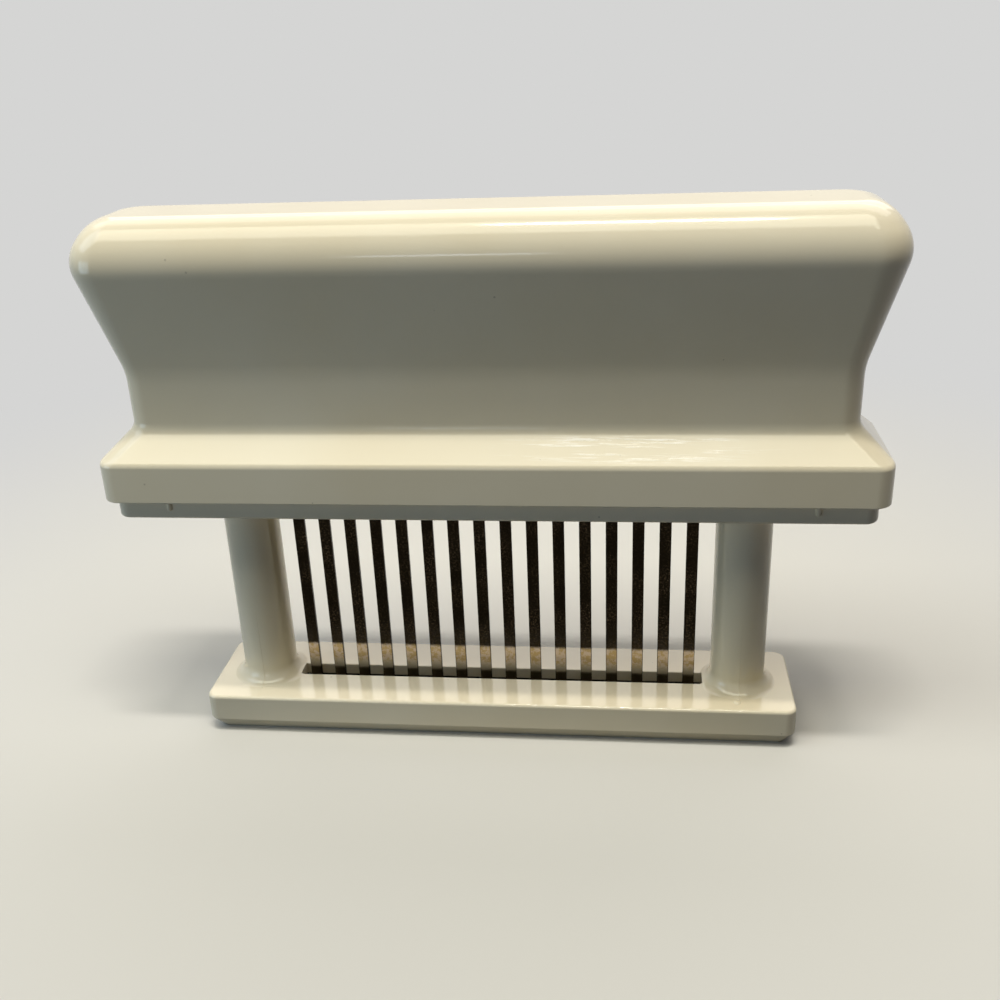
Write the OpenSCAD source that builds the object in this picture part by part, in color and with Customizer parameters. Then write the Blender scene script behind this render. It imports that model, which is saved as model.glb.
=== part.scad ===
// Blade meat tenderizer with a single row of blades.
// A moulded handle slides down two hollow columns against two springs and drives
// its blades through the slot of the press plate.
// Millimetres. +X runs along the row of blades, +Y to the back and +Z up.
// The origin is at the middle of the press plate's underside.
// Every piece is drawn at rest: the springs hold the handle up against its stop clips.

/* [Blades] */
// Number of blades in the row
blade_count = 16; // [8:1:20]
// Distance from one blade to the next
blade_pitch = 5.0; // [4.6:0.1:6]
// Width of a blade, seen from the front
blade_width = 2.2; // [1.6:0.1:2.6]
// Thickness of a blade, front to back
blade_thickness = 0.8; // [0.5:0.1:1.2]
// Width of the head that a blade hangs from
head_width = 3.6; // [3.2:0.1:4]
// Height of the head that a blade hangs from
head_height = 2.0; // [1.5:0.1:3]
// Height of the slanted cutting tip
tip_slant = 1.8; // [0.8:0.1:3]
// Height of a blade's tip above the board, at rest
tip_clearance = 2.5; // [1:0.1:4]

/* [Motion] */
// How far the handle travels down
travel = 35.5; // [26:0.5:42]
// Gap left between the cover plate and the column flares when the handle is down
landing_gap = 0.35; // [0.3:0.05:1.5]

/* [Press plate] */
// Height of the press plate
plate_height = 8.05; // [6:0.05:10]
// Depth of the press plate, front to back
plate_depth = 22.0; // [19:0.5:26]
// How far the press plate stands out past a column's centre line
plate_overhang = 10.45; // [9:0.05:14]
// Corner radius of the press plate, seen from above
plate_corner = 2.2; // [1.6:0.1:5]
// Set-back of the bevel round the plate's underside
bevel_setback = 2.0; // [0.5:0.1:2.2]
// Height of the bevel round the plate's underside
bevel_height = 2.8; // [0.8:0.1:4]
// Width of the blade slot, front to back
slot_width = 3.9; // [2.4:0.1:4.5]
// Length of the blade slot past the outermost blade
slot_end_gap = 1.6; // [0.6:0.1:2.2]

/* [Columns] */
// Outer diameter of a column
column_diameter = 10.4; // [9.8:0.1:12]
// Diameter of the spring bore in a column
bore_diameter = 7.0; // [6.6:0.1:7.2]
// Thickness of the plate left under a spring bore
bore_floor = 5.0; // [2:0.1:6]
// Radius of the flare where a column meets the press plate
flare_radius = 2.7; // [1:0.1:3.5]
// Length of a column above the cover plate's slab
column_tail = 5.6; // [4:0.1:8]
// Depth of the groove that holds a stop clip
groove_depth = 0.9; // [0.5:0.05:1]

/* [Cover plate] */
// Thickness of the cover plate's slab, which shows under the flange
cover_thickness = 3.8; // [2.5:0.1:5]
// Height of the cover plate's rim inside the flange
rim_height = 2.6; // [2:0.1:4]
// Thickness of the cover plate's rim
rim_wall = 1.6; // [1.2:0.1:2.2]
// Length of a snap barb on the rim
barb_length = 6.0; // [3:0.5:10]
// How far a snap barb stands out of the rim
barb_depth = 0.6; // [0.3:0.1:0.8]
// Height of a snap barb
barb_height = 1.2; // [0.8:0.1:1.6]
// Distance from a column's centre line to the snap barbs beyond it
barb_offset = 11.15; // [9:0.05:14]
// Radius of the small lifting rib under each snap barb
rib_radius = 0.6; // [0.3:0.05:0.8]
// Height of the lifting ribs
rib_length = 2.1; // [1:0.1:2.4]

/* [Handle] */
// Distance from a column's centre line to the flange's end
flange_overhang = 23.4; // [21:0.1:30]
// Wall of the flange round the cover plate
flange_wall = 1.7; // [1.4:0.1:2.2]
// Height of the flange's upright edge
flange_edge_height = 7.3; // [5.5:0.1:9]
// Rise of the shoulder from the flange's edge to the neck
shoulder_rise = 5.1; // [4:0.1:7]
// Set-back of the neck from the flange's edge
shoulder_setback = 5.25; // [4.8:0.05:7]
// Radius along the flange's top edge
flange_edge_radius = 2.6; // [0.8:0.1:4]
// Radius of the fillet where the shoulder meets the neck
neck_foot_radius = 1.8; // [0.8:0.1:3]
// Wall of the neck in front of and behind a column
neck_wall = 1.7; // [1.4:0.1:2.4]
// Height of the upright part of the neck
neck_height = 10.3; // [6:0.1:12]
// How far the corner of the grip stands out past the flange
grip_overhang = 0.4; // [-1:0.1:2]
// Height of the grip's crown above its widest corner
crown_height = 6.3; // [5.5:0.1:8]
// Set-back of the crown's top corner from the flange's edge
crown_setback = 4.0; // [3:0.1:5]
// Thickness of the grip above the spring pockets
grip_roof = 3.5; // [2.4:0.1:5]
// Radius along the grip's widest edge
grip_edge_radius = 7.0; // [4:0.1:7.2]
// Radius along the crown's top edge
crown_edge_radius = 7.3; // [5:0.1:7.4]
// Radius of the soft crease where the neck starts to flare
crease_radius = 13.6; // [6:0.2:20]
// Corner radius of the flange, seen from above
flange_corner = 3.3; // [2.8:0.1:5]
// Corner radius of the neck, seen from above
neck_corner = 4.0; // [2.5:0.1:6]
// Corner radius of the grip's widest edge, seen from above
grip_end_corner = 6.5; // [4:0.1:8]
// Corner radius of the grip's crown, seen from above
crown_end_corner = 5.0; // [3:0.1:6]
// Thickness of the ribs between the handle's pockets
rib_thickness = 1.8; // [1.2:0.1:2.4]
// Number of pockets between the two columns
middle_pockets = 4; // [2:1:6]

/* [Blade pack] */
// Height of the blade holder
holder_height = 7.0; // [5:0.1:8]
// Depth of the blade holder, front to back
holder_depth = 9.0; // [7:0.1:10.4]
// Wall of the holder past the outermost blade heads
holder_end_wall = 0.7; // [0.5:0.1:2]
// Height of the clamp bar on top of the holder
clamp_height = 3.0; // [2:0.1:4]
// Diameter of the pegs that locate the clamp bar on the holder
peg_diameter = 1.6; // [1.2:0.1:2]
// Length of the pegs that locate the clamp bar on the holder
peg_length = 2.0; // [1:0.1:3]

/* [Springs and clips] */
// Diameter of the spring wire
wire_diameter = 0.8; // [0.6:0.05:1]
// Number of curls in a spring
spring_curls = 34; // [20:1:40]
// Diameter of the post that keeps a spring straight
post_diameter = 3.8; // [3:0.1:4]
// Length of the post that keeps a spring straight
post_length = 45.0; // [25:0.5:50]
// Thickness of a stop clip
clip_thickness = 1.0; // [0.6:0.1:1.4]
// How far a stop clip reaches past the column's side, along the row
clip_reach = 1.1; // [0.8:0.1:1.6]

/* [Hidden] */
// Clearances
slide_gap = 0.08; // column in the cover plate's hole, and in the handle's guide ribs
pocket_gap = 0.6; // column to the wall of its pocket
clip_gap = 0.4; // stop clip to the wall of its pocket
pack_gap = 0.55; // stop clip to the blade pack
spring_gap = 0.35; // spring to its bore
seat_gap = 0.05; // spring to its seats, clip in its groove, cover in the flange, peg in its hole
blade_gap = 0.2; // blade in the cover plate's slot
fit_gap = 0.05; // blade in the holder
barb_gap = 0.1; // snap barb in its recess
ceiling_gap = 5.5; // column's top to the pocket's ceiling when the handle is down
pack_room = 3.5; // blade pack to the front and back of its pocket
cut = 1; // how far a cut runs past a face
smooth = 64; // sides of a full circle
corner_steps = 6; // steps of a rounded corner, seen from above
edge_steps = 5; // steps of a rounded edge of the handle
flare_steps = 6; // steps of a column's flare
flare_sink = 0.05; // depth of the flare's foot in the press plate

// Row of blades
row_length = (blade_count - 1) * blade_pitch;
holder_length = row_length + head_width + 2 * holder_end_wall;
column_radius = column_diameter / 2;
clip_half = column_radius + clip_reach;
column_x = holder_length / 2 + pack_gap + clip_half;

// Heights at rest
window_height = travel + flare_radius + landing_gap;
cover_bottom = plate_height + window_height;
cover_top = cover_bottom + cover_thickness;
rim_top = cover_top + rim_height;
holder_top = cover_top + holder_height;
pack_top = holder_top + clamp_height;
column_top = cover_top + column_tail;
ceiling = column_top + travel + ceiling_gap;
grip_top = ceiling + grip_roof;
edge_top = cover_top + flange_edge_height;
neck_bottom = edge_top + shoulder_rise;
neck_top = neck_bottom + neck_height;
grip_corner = grip_top - crown_height;

// Plan sizes
plate_length = 2 * (column_x + plate_overhang);
slot_length = row_length + blade_width + 2 * slot_end_gap;
neck_depth = column_diameter + 2 * (pocket_gap + neck_wall);
flange_depth = neck_depth + 2 * shoulder_setback;
flange_length = 2 * (column_x + flange_overhang);
mouth_length = flange_length - 2 * flange_wall;
mouth_depth = flange_depth - 2 * flange_wall;
mouth_corner = flange_corner - flange_wall;
cover_length = mouth_length - 2 * seat_gap;
cover_depth = mouth_depth - 2 * seat_gap;
cover_corner = mouth_corner - seat_gap;
pack_pocket_depth = holder_depth + 2 * pack_room;
pack_pocket_length = flange_length - (flange_depth - pack_pocket_depth);
pocket_depth = column_diameter + 2 * pocket_gap;
column_pocket = 2 * (clip_half + clip_gap);
middle_half = column_x - column_pocket / 2 - rib_thickness;
middle_pocket = (2 * middle_half - (middle_pockets - 1) * rib_thickness) / middle_pockets;
end_pocket_start = column_x + column_pocket / 2 + rib_thickness;
end_pocket_end = flange_length / 2 - shoulder_setback - neck_wall;
barb_x = column_x + barb_offset;
groove_radius = column_radius - groove_depth;
peg_x = blade_pitch * floor(blade_count / 3);
peg_y = (holder_depth + blade_thickness) / 4;

// Springs
spring_diameter = bore_diameter - 2 * spring_gap;
curl_radius = (spring_diameter - wire_diameter) / 2;
spring_bottom = bore_floor + seat_gap;
spring_top = ceiling - seat_gap;
curl_rise = (spring_top - spring_bottom - wire_diameter) / spring_curls;
curl_rings = 8; // rings of wire in one curl
wire_sides = 6; // sides of the wire

// Colours
cream = "#EFE6CB";
inner_white = "#E4DFD2";
steel = "#8D8478";
bright_steel = "#B9BBBE";

function blade_name(i) = str("blade_", i < 10 ? "0" : "", i);
function blade_x(i) = (i - (blade_count + 1) / 2) * blade_pitch;

// ---- Outlines and lofts ----

function unit(v) = v / norm(v);

// Points of an arc of the given radius that rounds the corner between two straight sides
function rounded_corner(before, corner, after, radius, steps) =
    let (
        u = unit(before - corner),
        w = unit(after - corner),
        half_angle = acos(u * w) / 2,
        reach = radius / tan(half_angle),
        centre = corner + unit(u + w) * radius / sin(half_angle),
        from = unit(corner + u * reach - centre),
        to = unit(corner + w * reach - centre),
        sweep = 180 - 2 * half_angle
    )
    [for (k = [0:steps])
        centre + radius * (from * sin(sweep - k * sweep / steps) + to * sin(k * sweep / steps)) / sin(sweep)];

// Points of a rectangle with rounded corners, seen from above
function rounded_ring(length, depth, corner, z) =
    [for (quarter = [0:3], k = [0:corner_steps])
        let (
            turn = 90 * (quarter + k / corner_steps),
            side_x = quarter == 0 || quarter == 3 ? 1 : -1,
            side_y = quarter < 2 ? 1 : -1
        )
        [
            side_x * (length / 2 - corner) + corner * cos(turn),
            side_y * (depth / 2 - corner) + corner * sin(turn),
            z
        ]];

// Closed solid through a stack of rings that all have the same number of points
module loft(rings) {
    count = len(rings[0]);
    last = (len(rings) - 1) * count;
    polyhedron(
        points = [for (ring = rings) each ring],
        faces = concat(
            [[for (k = [0:count - 1]) k]],
            [[for (k = [count - 1:-1:0]) last + k]],
            [for (i = [0:len(rings) - 2], k = [0:count - 1])
                let (a = i * count, b = a + count, next = (k + 1) % count)
                each [[a + k, b + k, b + next], [a + k, b + next, a + next]]]
        ),
        convexity = 6
    );
}

// Upright block centred on the Z axis with its underside at the given height
module block(length, depth, bottom, top) {
    translate([-length / 2, -depth / 2, bottom])
        cube([length, depth, top - bottom]);
}

// Flat rectangle with rounded corners
module rounded_plan(length, depth, corner) {
    square([length, depth - 2 * corner], center = true);
    square([length - 2 * corner, depth], center = true);
    for (x = [-1, 1], y = [-1, 1])
        translate([x * (length / 2 - corner), y * (depth / 2 - corner)])
            circle(r = corner, $fn = smooth);
}

// Upright block with rounded corners
module rounded_block(length, depth, corner, bottom, top) {
    translate([0, 0, bottom])
        linear_extrude(top - bottom)
            rounded_plan(length, depth, corner);
}

// Places its children at both columns
module at_both_columns() {
    for (side = [-1, 1])
        translate([side * column_x, 0, 0])
            children();
}

// ---- Handle ----

// Outline of the handle's side: each point is a set-back from the flange's edge, a height and the
// corner radius that the handle has there, seen from above
function handle_profile() =
    let (
        foot = [0, cover_top, flange_corner],
        edge = [0, edge_top, flange_corner],
        neck_foot = [-shoulder_setback, neck_bottom, neck_corner],
        crease = [-shoulder_setback, neck_top, neck_corner],
        widest = [grip_overhang, grip_corner, grip_end_corner],
        crown = [-crown_setback, grip_top, crown_end_corner],
        middle = [-flange_depth / 2, grip_top, 0]
    )
    concat(
        [foot],
        rounded_corner(foot, edge, neck_foot, flange_edge_radius, 3),
        rounded_corner(edge, neck_foot, crease, neck_foot_radius, 2),
        rounded_corner(neck_foot, crease, widest, crease_radius, edge_steps),
        rounded_corner(crease, widest, crown, grip_edge_radius, edge_steps),
        rounded_corner(widest, crown, middle, crown_edge_radius, edge_steps)
    );

module handle_outside() {
    loft([for (point = handle_profile())
        rounded_ring(
            flange_length + 2 * point[0],
            flange_depth + 2 * point[0],
            point[2],
            point[1]
        )]);
}

// Pockets that the mould's core leaves, all open downwards
module handle_pockets() {
    rounded_block(mouth_length, mouth_depth, mouth_corner, cover_top - cut, rim_top);
    block(pack_pocket_length, pack_pocket_depth, rim_top - cut, pack_top);
    for (i = [0:middle_pockets - 1])
        translate([-middle_half + middle_pocket / 2 + i * (middle_pocket + rib_thickness), 0, 0])
            block(middle_pocket, pocket_depth, pack_top - cut, ceiling);
    at_both_columns()
        block(column_pocket, pocket_depth, pack_top - cut, ceiling);
    for (side = [-1, 1])
        translate([side * (end_pocket_start + end_pocket_end) / 2, 0, 0])
            block(end_pocket_end - end_pocket_start, pocket_depth, pack_top - cut, ceiling);
}

// Recesses in the flange's inner wall that the cover plate's barbs snap into
module barb_recesses() {
    recess_depth = mouth_depth + 2 * (barb_depth + barb_gap);
    for (side = [-1, 1])
        translate([side * barb_x, 0, 0])
            block(
                barb_length + 2 * barb_gap, recess_depth,
                rim_top - barb_height - 2 * barb_gap, rim_top
            );
}

// Ribs that guide a column's upper end, on the front and back walls of its pocket
module guide_ribs() {
    rib_depth = pocket_gap - slide_gap + cut;
    for (side = [-1, 1])
        translate([0, side * (column_radius + slide_gap + rib_depth / 2), 0])
            block(rib_thickness, rib_depth, pack_top, ceiling + cut);
}

module handle_housing() {
    color(cream) {
        difference() {
            handle_outside();
            handle_pockets();
            barb_recesses();
        }
        at_both_columns() {
            translate([0, 0, ceiling - post_length])
                cylinder(d = post_diameter, h = post_length + cut, $fn = smooth);
            guide_ribs();
        }
    }
}

// ---- Cover plate ----

module snap_barb() {
    translate([-barb_length / 2, 0, rim_top - barb_gap])
        rotate([0, 90, 0])
            linear_extrude(barb_length)
                polygon([
                    [0, -rim_wall / 2],
                    [0, 0],
                    [barb_height, barb_depth],
                    [barb_height, -rim_wall / 2]
                ]);
}

// Half-round rib that shows under the flange, where a barb can be levered out
module lifting_rib() {
    translate([0, -rib_radius / 3, cover_top - rib_length])
        cylinder(r = rib_radius, h = rib_length - seat_gap, $fn = smooth);
}

module cover_plate() {
    color(cream)
        difference() {
            union() {
                rounded_block(cover_length, cover_depth, cover_corner, cover_bottom, cover_top);
                difference() {
                    rounded_block(
                        cover_length, cover_depth, cover_corner,
                        cover_top - cut, rim_top
                    );
                    block(
                        cover_length - 2 * rim_wall, cover_depth - 2 * rim_wall,
                        cover_top, rim_top + cut
                    );
                }
                for (side = [-1, 1], back = [0, 180])
                    translate([side * barb_x, 0, 0])
                        rotate([0, 0, back])
                            translate([0, cover_depth / 2, 0]) {
                                snap_barb();
                                lifting_rib();
                            }
            }
            at_both_columns()
                translate([0, 0, cover_bottom - cut])
                    cylinder(r = column_radius + slide_gap, h = cover_thickness + 2 * cut, $fn = smooth);
            for (i = [1:blade_count])
                translate([blade_x(i), 0, 0])
                    block(
                        blade_width + 2 * blade_gap, blade_thickness + 2 * blade_gap,
                        cover_bottom - cut, cover_top + cut
                    );
        }
}

// ---- Blade pack ----

module blade(i) {
    head_bottom = holder_top - head_height;
    slant_top = tip_clearance + tip_slant;
    color(steel)
        translate([blade_x(i), blade_thickness / 2, 0])
            rotate([90, 0, 0])
                linear_extrude(blade_thickness)
                    polygon([
                        [blade_width / 2, tip_clearance],
                        [blade_width / 2, head_bottom],
                        [head_width / 2, head_bottom],
                        [head_width / 2, holder_top],
                        [-head_width / 2, holder_top],
                        [-head_width / 2, head_bottom],
                        [-blade_width / 2, head_bottom],
                        [-blade_width / 2, slant_top]
                    ]);
}

module blade_holder() {
    color(inner_white)
        difference() {
            block(holder_length, holder_depth, cover_top, holder_top);
            for (i = [1:blade_count])
                translate([blade_x(i), 0, 0]) {
                    block(
                        blade_width + 2 * fit_gap, blade_thickness + 2 * fit_gap,
                        cover_top - cut, holder_top + cut
                    );
                    block(
                        head_width + 2 * fit_gap, blade_thickness + 2 * fit_gap,
                        holder_top - head_height, holder_top + cut
                    );
                }
            locating_pegs(peg_diameter + 2 * seat_gap, peg_length + fit_gap);
        }
}

// Pegs that stand down from the clamp bar into the holder
module locating_pegs(diameter, length) {
    for (x = [-peg_x, peg_x], y = [-peg_y, peg_y])
        translate([x, y, holder_top - length])
            cylinder(d = diameter, h = length + clamp_height / 2, $fn = smooth);
}

module blade_clamp_bar() {
    color(inner_white) {
        block(holder_length, holder_depth, holder_top, pack_top);
        locating_pegs(peg_diameter, peg_length);
    }
}

// ---- Press plate and its columns ----

// Slab whose underside has a bevel all round
module bevelled_slab() {
    loft([
        rounded_ring(
            plate_length - 2 * bevel_setback, plate_depth - 2 * bevel_setback,
            plate_corner / 2, 0
        ),
        rounded_ring(plate_length, plate_depth, plate_corner, bevel_height),
        rounded_ring(plate_length, plate_depth, plate_corner, plate_height)
    ]);
}

// Round column with its flare, spring bore and clip groove, before the bore is cut
module column_outside() {
    flare = [for (k = [0:flare_steps])
        let (turn = 90 * k / flare_steps)
        [
            column_radius + flare_radius * (1 - cos(90 - turn)),
            plate_height - flare_sink + flare_radius * (1 - sin(90 - turn))
        ]];
    groove_top = cover_top + clip_thickness + seat_gap;
    rotate_extrude($fn = smooth)
        polygon(concat(
            [[0, plate_height - cut], [flare[0][0], plate_height - cut]],
            flare,
            [
                [column_radius, cover_top],
                [groove_radius, cover_top],
                [groove_radius, groove_top],
                [column_radius, groove_top],
                [column_radius, column_top],
                [0, column_top]
            ]
        ));
}

module press_plate() {
    color(cream)
        difference() {
            union() {
                bevelled_slab();
                at_both_columns()
                    column_outside();
            }
            at_both_columns()
                translate([0, 0, bore_floor])
                    cylinder(d = bore_diameter, h = column_top, $fn = smooth);
            block(slot_length, slot_width, -cut, plate_height + flare_radius);
        }
}

// ---- Springs and stop clips ----

// Middle of the spring wire after a number of turns
function spring_point(turns) = [
    curl_radius * cos(360 * turns),
    curl_radius * sin(360 * turns),
    spring_bottom + wire_diameter / 2 + turns * curl_rise
];

// Ring of points round the spring wire, square to the coil's circle
function wire_ring(turns) =
    let (centre = spring_point(turns), out = [cos(360 * turns), sin(360 * turns), 0])
    [for (k = [0:wire_sides - 1])
        let (turn = 360 * (k + 0.5) / wire_sides)
        centre + wire_diameter / 2 * (out * cos(turn) + [0, 0, sin(turn)])];

module spring() {
    color(bright_steel)
        loft([for (step = [0:spring_curls * curl_rings]) wire_ring(step / curl_rings)]);
}

// Flat clip that is pushed onto the column's groove from the outer side
module stop_clip() {
    clip_depth = column_diameter;
    inner_radius = groove_radius + seat_gap;
    bottom = cover_top;
    top = cover_top + clip_thickness;
    color(bright_steel)
        difference() {
            block(2 * clip_half, clip_depth, bottom, top);
            translate([0, 0, bottom - cut])
                cylinder(r = inner_radius, h = clip_thickness + 2 * cut, $fn = smooth);
            translate([clip_half / 2 + cut / 2, 0, 0])
                block(clip_half + cut, 2 * inner_radius, bottom - cut, top + cut);
        }
}

// Least clear distance between two neighbouring curls of a spring
echo(spring_gap_to_itself = min([for (step = [0:curl_rings])
    norm(spring_point(1 + step / curl_rings) - spring_point(step / curl_rings))]) - wire_diameter);

handle_housing();
cover_plate();
blade_holder();
blade_clamp_bar();
for (i = [1:blade_count])
    blade(i);
press_plate();
translate([-column_x, 0, 0]) spring();  // left_spring
translate([column_x, 0, 0]) spring();  // right_spring
translate([-column_x, 0, 0]) mirror([1, 0, 0]) stop_clip();  // left_stop_clip
translate([column_x, 0, 0]) stop_clip();  // right_stop_clip
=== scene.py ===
"""The looks of a sprung meat tenderizer with a single row of blades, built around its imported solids.

Shapes are worked out in millimetres and become metres when a mesh is made. +X runs along the row of
blades, +Y to the back and +Z up, and the origin is under the middle of the press plate.
"""

import logging
import math
from dataclasses import dataclass
from enum import Enum

import bpy
import numpy as np
from bpy.types import Material, Node, NodeSocket, NodeTree, Object
from mathutils import Matrix, Vector


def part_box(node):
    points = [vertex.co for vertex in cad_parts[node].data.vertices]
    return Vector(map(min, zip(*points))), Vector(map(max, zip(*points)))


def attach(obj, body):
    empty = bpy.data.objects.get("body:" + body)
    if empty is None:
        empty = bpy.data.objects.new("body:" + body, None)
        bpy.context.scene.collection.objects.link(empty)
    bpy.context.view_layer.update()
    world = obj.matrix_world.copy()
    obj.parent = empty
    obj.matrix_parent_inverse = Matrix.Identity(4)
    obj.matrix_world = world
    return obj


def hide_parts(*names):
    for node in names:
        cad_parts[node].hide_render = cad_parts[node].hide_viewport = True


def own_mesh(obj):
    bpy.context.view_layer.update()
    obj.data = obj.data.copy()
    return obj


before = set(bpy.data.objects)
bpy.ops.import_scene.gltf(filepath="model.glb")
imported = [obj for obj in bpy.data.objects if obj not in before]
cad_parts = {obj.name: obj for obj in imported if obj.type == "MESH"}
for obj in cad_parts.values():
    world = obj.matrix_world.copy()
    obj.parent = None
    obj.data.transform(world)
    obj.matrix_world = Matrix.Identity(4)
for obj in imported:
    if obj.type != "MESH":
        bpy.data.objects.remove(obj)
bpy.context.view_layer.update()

MM = 0.001
CORNERS = ((-1, -1), (1, -1), (1, 1), (-1, 1))
FRONT_AND_BACK = (-1, 1)
log = logging.getLogger("tenderizer")

# How far a tool solid reaches past the face that it opens or joins, in millimetres.
OVERLAP = 1.0


class Body(Enum):
    """The two bodies that the pieces ride on."""

    BASE = "base"
    HANDLE = "handle"


class Slot(Enum):
    """The record's material slots."""

    CREAM_PLASTIC = "cream_plastic"
    BLADE_STEEL = "blade_steel"
    SPRING_STEEL = "spring_steel"


class Carving(Enum):
    """What a tool solid does to the piece that it meets."""

    TAKE_AWAY = "DIFFERENCE"
    JOIN = "UNION"


class Side(Enum):
    """The two ends of the tool, as the sign of X."""

    LEFT = -1
    RIGHT = 1


# ---- Meshes ----


def node_box(node: str) -> tuple[np.ndarray, np.ndarray]:
    """The lowest and highest corner of a CAD node.

    Args:
        node: the node's name.

    Returns:
        Both corners in millimetres.
    """
    low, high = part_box(node)
    return np.array(low) / MM, np.array(high) / MM


def make_object(name: str, points: np.ndarray, faces: list) -> Object:
    """Makes a mesh object and puts it in the scene.

    Args:
        name: the object's name.
        points: its corners in millimetres.
        faces: corner numbers of each face, in order round the face.

    Returns:
        The new object.
    """
    mesh = bpy.data.meshes.new(name)
    mesh.from_pydata((np.asarray(points, float) * MM).tolist(), [], faces)
    mesh.validate()
    made = bpy.data.objects.new(name, mesh)
    bpy.context.scene.collection.objects.link(made)
    return made


def loft(name: str, rings: list) -> Object:
    """Makes a closed solid through a stack of rings.

    Args:
        name: the object's name.
        rings: arrays of points in millimetres, all of the same length and turning the same way.

    Returns:
        The new object, with its faces turned outwards.
    """
    count = len(rings[0])
    last = (len(rings) - 1) * count
    faces = [tuple(range(count - 1, -1, -1)), tuple(range(last, last + count))]
    for i in range(len(rings) - 1):
        for k in range(count):
            a, b, following = i * count, (i + 1) * count, (k + 1) % count
            faces.append((a + k, a + following, b + following, b + k))
    return make_object(name, np.vstack(rings), faces)


def rounded_corner(before: tuple, corner: tuple, after: tuple, radius: float, steps: int) -> list:
    """Rounds the corner between two straight sides of an outline.

    Args:
        before: a point on the side that comes first.
        corner: the sharp corner.
        after: a point on the side that follows.
        radius: the radius of the round in millimetres.
        steps: the number of straight pieces that the arc is made of.

    Returns:
        The points of the arc.
    """
    before, corner, after = (np.array(p, float) for p in (before, corner, after))
    u = (before - corner) / np.linalg.norm(before - corner)
    w = (after - corner) / np.linalg.norm(after - corner)
    half = math.acos(float(np.clip(u @ w, -1, 1))) / 2
    middle = (u + w) / np.linalg.norm(u + w)
    centre = corner + middle * radius / math.sin(half)
    reach = radius / math.tan(half)
    start, end = corner + u * reach - centre, corner + w * reach - centre
    sweep = math.pi - 2 * half
    shares = [k / steps for k in range(steps + 1)]
    return [
        centre + (start * math.sin((1 - t) * sweep) + end * math.sin(t * sweep)) / math.sin(sweep)
        for t in shares
    ]


def plan_ring(length: float, depth: float, corner: float, z: float, steps: int) -> np.ndarray:
    """A rectangle with rounded corners, seen from above.

    Args:
        length: its size along X.
        depth: its size along Y.
        corner: the radius of its corners.
        z: the height that it lies at.
        steps: straight pieces in each corner.

    Returns:
        Its points, anticlockwise.
    """
    points = []
    for quarter, (sx, sy) in enumerate(((1, 1), (-1, 1), (-1, -1), (1, -1))):
        for k in range(steps + 1):
            turn = math.pi / 2 * (quarter + k / steps)
            points.append((
                sx * (length / 2 - corner) + corner * math.cos(turn),
                sy * (depth / 2 - corner) + corner * math.sin(turn),
                z,
            ))
    return np.array(points)


def turned(name: str, profile: list, x: float = 0.0, y: float = 0.0, sides: int = 96) -> Object:
    """Makes a solid of revolution about an upright axis.

    Args:
        name: the object's name.
        profile: (radius, height) pairs from the bottom to the top.
        x: the X of the axis.
        y: the Y of the axis.
        sides: the number of sides of a full circle.

    Returns:
        The new object.
    """
    turns = np.arange(sides) * 2 * math.pi / sides
    return loft(name, [
        np.stack([x + radius * np.cos(turns), y + radius * np.sin(turns), np.full(sides, z)], axis=1)
        for radius, z in profile
    ])


def block(
    name: str, length: float, depth: float, bottom: float, top: float, x: float = 0.0, y: float = 0.0,
) -> Object:
    """Makes an upright box, used as a tool solid.

    Args:
        name: the object's name.
        length: its size along X.
        depth: its size along Y.
        bottom: the height of its underside.
        top: the height of its top.
        x: the X of its middle.
        y: the Y of its middle.

    Returns:
        The new object.
    """
    return loft(name, [
        np.array([(x + sx * length / 2, y + sy * depth / 2, z) for sx, sy in CORNERS])
        for z in (bottom, top)
    ])


def carve(target: Object, tools: list, how: Carving) -> None:
    """Cuts tool solids out of a piece, or joins them to it, and deletes them.

    Args:
        target: the piece.
        tools: the tool solids.
        how: whether they are taken away or joined.
    """
    for tool in tools:
        step = target.modifiers.new(tool.name, "BOOLEAN")
        step.operation = how.value
        step.solver = "MANIFOLD"
        step.object = tool
    bpy.context.view_layer.update()
    carved = target.evaluated_get(bpy.context.evaluated_depsgraph_get())
    mesh = bpy.data.meshes.new_from_object(carved)
    target.modifiers.clear()
    target.data = mesh
    for tool in tools:
        bpy.data.objects.remove(tool)


def put_in_place(
    made: Object, material: Material, body: Body, node: str, sharp_from: float = 34.0,
) -> None:
    """Shades and dresses a piece, ties it to its body and hides the CAD node that it stands for.

    Args:
        made: the piece.
        material: its material.
        body: the body that it rides on.
        node: the CAD node that it replaces.
        sharp_from: the angle in degrees from which an edge stays sharp.
    """
    mesh = made.data
    mesh.shade_smooth()
    mesh.set_sharp_from_angle(angle=math.radians(sharp_from))
    mesh.materials.clear()
    mesh.materials.append(material)
    weighted = made.modifiers.new("weighted normals", "WEIGHTED_NORMAL")
    weighted.keep_sharp = True
    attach(made, body.value)
    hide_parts(node)
    log.info("%s: %d faces, rides on %s", made.name, len(mesh.polygons), body.value)


# ---- Materials ----


def linear(code: str) -> tuple:
    """Turns an sRGB colour to linear light.

    Args:
        code: the colour as a hex value such as #EDE4CB.

    Returns:
        Red, green, blue and an alpha of 1.
    """
    shares = [int(code[i:i + 2], 16) / 255 for i in (1, 3, 5)]
    return tuple(s / 12.92 if s <= 0.04045 else ((s + 0.055) / 1.055) ** 2.4 for s in shares) + (1.0,)


def per_metre(size: float) -> float:
    """The scale of a pattern whose features are that many millimetres apart."""
    return 1 / (size * MM)


def in_metres(sizes: tuple) -> tuple:
    """Turns a place or reach in millimetres to metres."""
    return tuple(size * MM for size in sizes)


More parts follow.
